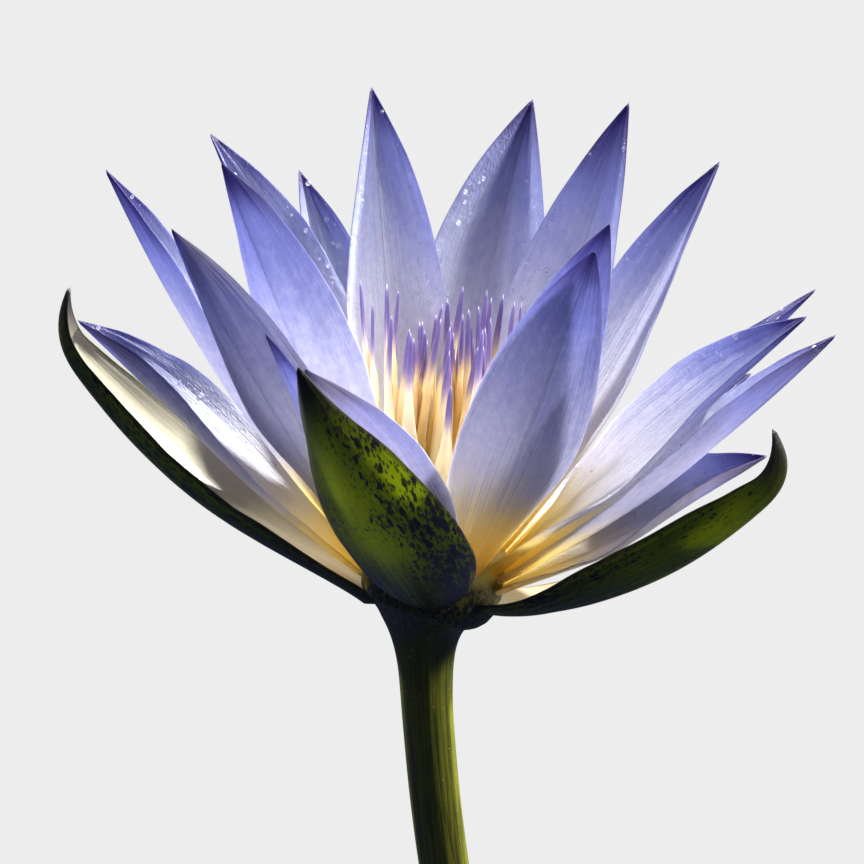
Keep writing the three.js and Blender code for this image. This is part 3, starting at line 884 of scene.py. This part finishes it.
STAMEN_ROWS = {
    "stamens_outer": [
        {
            "Count": 14, "Circle": 7.7, "Width": 8.0, "Lean": 14, "Blunt": 0.17, "Paleness": 1,
            "Shortest": 27,
        },
        {"Count": 14, "Circle": 6.7, "Width": 4.4, "Lean": 9, "Blunt": 0.3, "Paleness": 0.6},
    ],
    "stamens_inner": [
        {"Count": 14, "Circle": 5.2, "Width": 2.4, "Lean": 5, "Blunt": 0.55, "Paleness": 0.45},
        {"Count": 9, "Circle": 4.5, "Width": 2.0, "Lean": 1, "Blunt": 0.5, "Paleness": 0.2},
    ],
}
stamens = stamen_tree()
stamen_material = stamen_skin()


def merged(name, pieces):
    """The pieces as one mesh in one object, and nothing left of the others."""
    with bpy.context.temp_override(
        active_object=pieces[0], selected_editable_objects=pieces, object=pieces[0]
    ):
        bpy.ops.object.join()
    pieces[0].name = pieces[0].data.name = name
    return pieces[0]


for row_number, (node, rows) in enumerate(STAMEN_ROWS.items()):
    whorls = [
        grown(node, stamens, stamen_material, {**STAMEN, **row, "Seed": 10 * row_number + i + 1}, laid_head)
        for i, row in enumerate(rows)
    ]
    tuft = merged(f"{node}_tuft", whorls)
    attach(tuft, "root")
    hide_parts(node)

STIGMA = {"Radius": 3.6, "Base": 10.7, "Height": 1.8, "Carpels": 12, "Rings": 40, "Sides": 120}
STYLES = {
    "Count": 12, "Circle": 3.1, "Width": 1.5, "Lean": 4, "Incurve": 70, "Shortest": 3.6, "Longest": 4.2,
    "Base": 11.6, "Blunt": 0.6, "Seed": 31,
}


def stigma_tree():
    s = growth("stigma", STIGMA)
    new = s["Radius"].node
    grid, t, round_it = unrolled(new, s["Rings"], s["Sides"])
    turn = round_it * math.tau
    out = (t / 0.75).math("MINIMUM", 1.0)
    down = smooth((t - 0.75) / 0.25)
    groove = (turn * s["Carpels"]).math("COSINE") * smooth(out * 2) * (1 - down)
    knob = 1 - smooth(out / 0.22)
    height = s["Height"] * (0.5 + 0.5 * out * out - down) + groove * 0.12 + knob * 0.6
    radius = s["Radius"] * out
    place = joined_vector(radius * turn.math("COSINE"), radius * turn.math("SINE"), s["Base"] + height)
    cup = labelled(grid, "along", out * 0.5)
    cup = labelled(cup, "across", groove)
    return ripen(s, put(cup, place))


def stigma_skin():
    material, shader, start = skin("stigma", Roughness=0.4)
    along = attribute(start, "along")
    groove = attribute(start, "across")
    hue = blend(step(along, 0.4, 1.0), colour("#e6b51e"), colour("#f0cf5a"))
    # Darker in the grooves between the carpels: painted shade.
    hue = blend(step(-groove, 0.3, 1.0) * 0.4, hue, colour("#b9851a"))
    feed(shader, Base_Color=hue)
    return material


stigma_material = stigma_skin()
stigma = merged("stigma_crown", [
    grown("cup", stigma_tree(), stigma_material, STIGMA, laid_head),
    grown("styles", stamens, stigma_material, {**STAMEN, **STYLES}, laid_head),
])
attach(stigma, "root")
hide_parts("stigma")

# ---------------------------------------------------------------------------
# Dew
# Small beads of water that cling to the petals' inner faces, most of them near the edges.
# ---------------------------------------------------------------------------

DEW = {"Density": 0.7, "Smallest": 0.1, "Largest": 0.5, "Seed": 5}


def dew_tree():
    s = growth("dew", DEW)
    new = s["Density"].node

    across, along, inside = kept(new, "across"), kept(new, "along"), kept(new, "inside")
    clusters = new(
        "ShaderNodeTexNoise",
        values={"Vector": new("GeometryNodeInputPosition"), "Scale": 0.13, "Detail": 1.0},
    )
    wet = step(abs(across), 0.3, 0.85) * step(along, 0.3, 0.5) * step(clusters, 0.4, 0.55)
    chosen = (inside > 0.9) * (abs(across) < 0.93) * (along < 0.96)
    points = new(
        "GeometryNodeDistributePointsOnFaces",
        {"distribute_method": "RANDOM"},
        {"Mesh": s["Geometry"], "Selection": chosen, "Density": s["Density"] * wet, "Seed": s["Seed"]},
    )
    chance = new("FunctionNodeRandomValue", {"data_type": "FLOAT"}, {"Seed": s["Seed"]}, out=1)
    size = mixed(chance ** 5, s["Smallest"], s["Largest"])
    bead = new("GeometryNodeMeshIcoSphere", values={"Radius": 1.0, "Subdivisions": 2})
    beads = new(
        "GeometryNodeInstanceOnPoints",
        values={
            "Points": points,
            "Instance": bead,
            "Rotation": points["Rotation"],
            "Scale": joined_vector(size, size, size * 0.6),
        },
    )
    return ripen(s, beads)


def water():
    material, shader, start = skin("water", Roughness=0.1, IOR=1.33, Specular_IOR_Level=1.0, Alpha=0.2)
    shader.inputs["Base Color"].default_value = colour("#f4f6ff")
    coat_with(material, layered(start, 0.3, start, glow(start, "#ffffff")))
    return material


copies = []
for number in range(1, len(PETALS) + 1):
    petal_mesh = bpy.data.objects[f"petal_{number:02d}_blade"].data.copy()
    copies.append(bpy.data.objects.new("copy", petal_mesh))
    bpy.context.scene.collection.objects.link(copies[-1])
wet_petals = merged("wet_petals", copies)
wet_petals.data.transform(laid_head.inverted())
dew = grown("dew", dew_tree(), water(), DEW, laid_head, wet_petals.data)
bpy.data.objects.remove(wet_petals)
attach(dew, "root")

# ---------------------------------------------------------------------------
# The surface, the light and the view from above
# A pale surface and backdrop, a low key light from behind the flower that shines through its
# petals, two weaker lights, and a camera that looks straight down.
# ---------------------------------------------------------------------------

VIEW_DISTANCE = 0.650             # from the calyx to the camera
VIEW_SIDE = 0.000308              # how far right of the calyx the camera looks
VIEW_UP = 0.0271                  # how far towards the tips
FIELD = 0.133                     # the width that is seen at the calyx
SURFACE_HALF = 1.5
LIGHT_DISTANCE = 1.0
PALE = (0.84, 0.84, 0.84, 1)      # the surface and the backdrop, as the camera sees them
SKY = (0.04, 0.052, 0.1, 1)      # the cool light that they give
BOUNCE = (0.044, 0.058, 0.126, 1)

scene = bpy.context.scene
camera = bpy.data.objects.new("camera", bpy.data.cameras.new("camera"))
camera.location = CALYX_PLACE + Vector((VIEW_SIDE, VIEW_UP, VIEW_DISTANCE))
camera.data.lens = camera.data.sensor_width * VIEW_DISTANCE / FIELD
scene.collection.objects.link(camera)
scene.camera = camera

floor_mesh = bpy.data.meshes.new("surface")
corners = [(x * SURFACE_HALF, y * SURFACE_HALF, 0) for x, y in ((-1, -1), (1, -1), (1, 1), (-1, 1))]
floor_mesh.from_pydata(corners, [], [(0, 1, 2, 3)])
floor_material, floor_shader, floor_start = skin("surface", Roughness=0.9, Emission_Strength=1)
floor_shader.inputs["Base Color"].default_value = (0, 0, 0, 1)
in_view = floor_start.node("ShaderNodeLightPath", out="Is Camera Ray")
feed(floor_shader, Emission_Color=blend(in_view, BOUNCE, PALE))
floor_mesh.materials.append(floor_material)
floor = bpy.data.objects.new("surface", floor_mesh)
floor.visible_shadow = False      # the low lights shine through it
scene.collection.objects.link(floor)

world = bpy.data.worlds.new("studio")
world.use_nodes = True
backdrop = world.node_tree.nodes["Background"]
in_view = Wire(backdrop.outputs[0]).node("ShaderNodeLightPath", out="Is Camera Ray")
feed(backdrop, Color=blend(in_view, SKY, PALE))
scene.world = world
scene.view_settings.view_transform = "Standard"


def soft_light(name, azimuth, elevation, size, power):
    """A round lamp that faces the middle of the surface."""
    lamp = bpy.data.lights.new(name, "AREA")
    lamp.shape = "DISK"
    lamp.size = size
    lamp.energy = power
    light = bpy.data.objects.new(name, lamp)
    a, e = math.radians(azimuth), math.radians(elevation)
    way = Vector((math.cos(a) * math.cos(e), math.sin(a) * math.cos(e), math.sin(e)))
    light.location = way * LIGHT_DISTANCE
    light.rotation_mode = "QUATERNION"
    light.rotation_quaternion = way.to_track_quat("Z", "Y")
    scene.collection.objects.link(light)


soft_light("key", azimuth=60, elevation=-12, size=0.06, power=52)
soft_light("side", azimuth=27, elevation=13, size=0.12, power=10)
soft_light("back", azimuth=120, elevation=-12, size=0.1, power=16)
